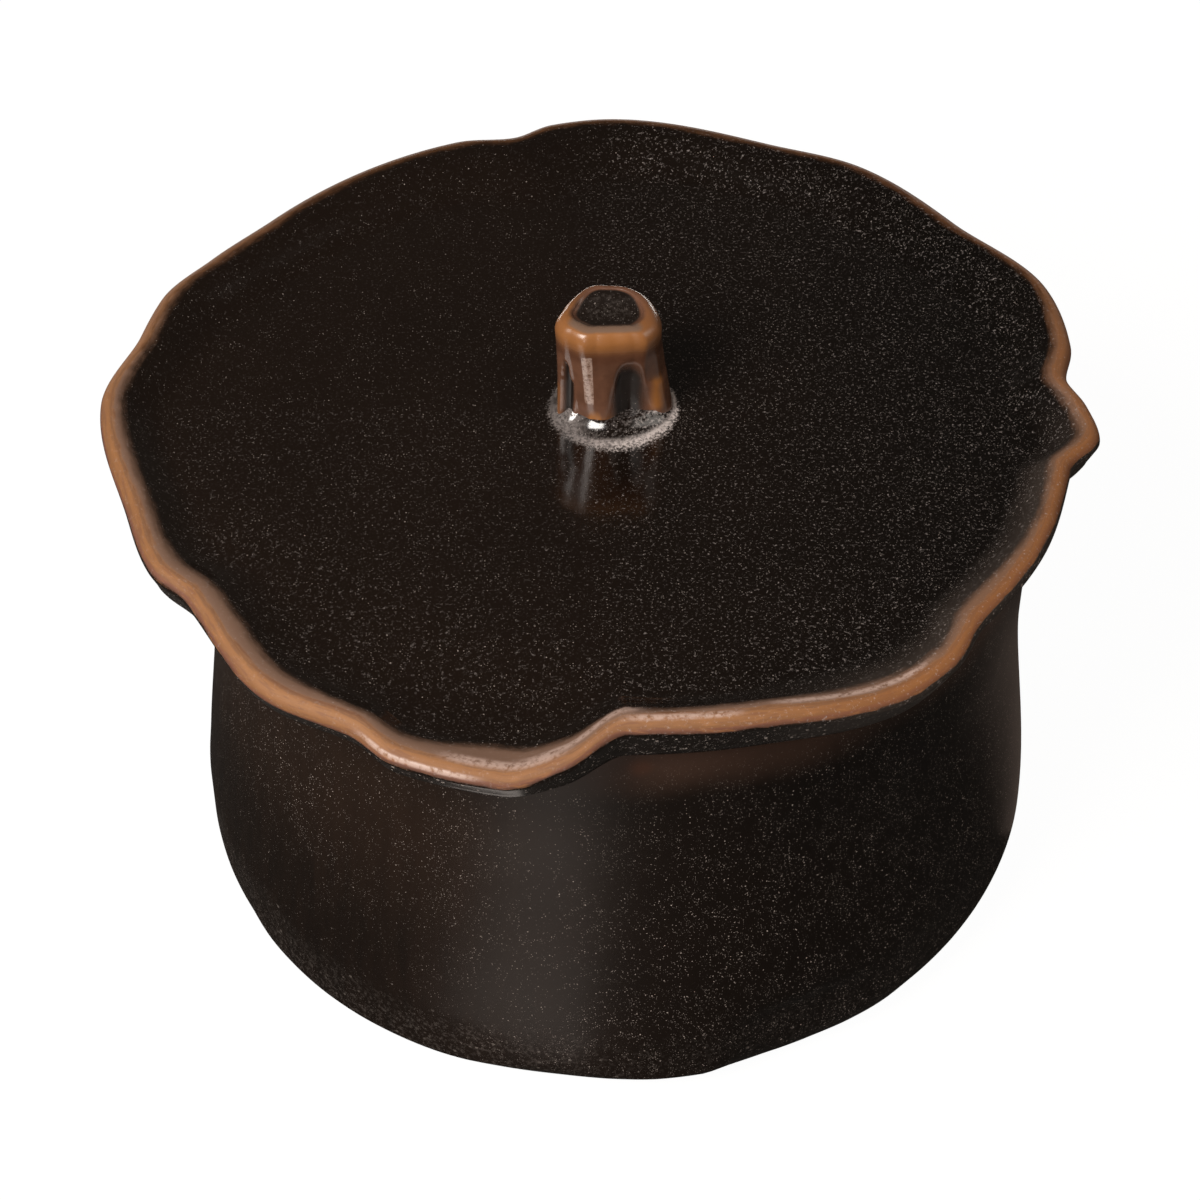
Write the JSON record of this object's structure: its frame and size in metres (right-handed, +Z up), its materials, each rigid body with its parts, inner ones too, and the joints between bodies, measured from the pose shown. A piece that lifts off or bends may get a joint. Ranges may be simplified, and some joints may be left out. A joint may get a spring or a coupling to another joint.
{
  "type": "lidded ceramic jar",
  "caption": "Squat dark-glazed stoneware jar with a wide wavy leaf-shaped lid that lifts off by a short stem knob.",
  "frame": {"origin": "on the table under the middle of the foot, on the axis of the jar and its mouth", "axes": "+Z up along the jar's axis, -Y towards the front, +X to the right seen from the front"},
  "size_m": [0.1336, 0.1303, 0.0915],
  "materials": {
    "jar_glaze": "satin",
    "lid_glaze": "satin",
    "knob_glaze": "gloss",
    "bare_clay": "matte"
  },
  "bodies": {
    "jar": {"foot": "bare_clay", "jar_body": "jar_glaze"},
    "lid": {"lid_leaf": "lid_glaze", "lid_ring": "bare_clay", "knob": "knob_glaze"}
  },
  "joints": [
    {"name": "lid_lift", "type": "slide", "parent": "jar", "child": "lid", "axis": [0, 0, 1], "range_m": [0, 0.06]}
  ]
}
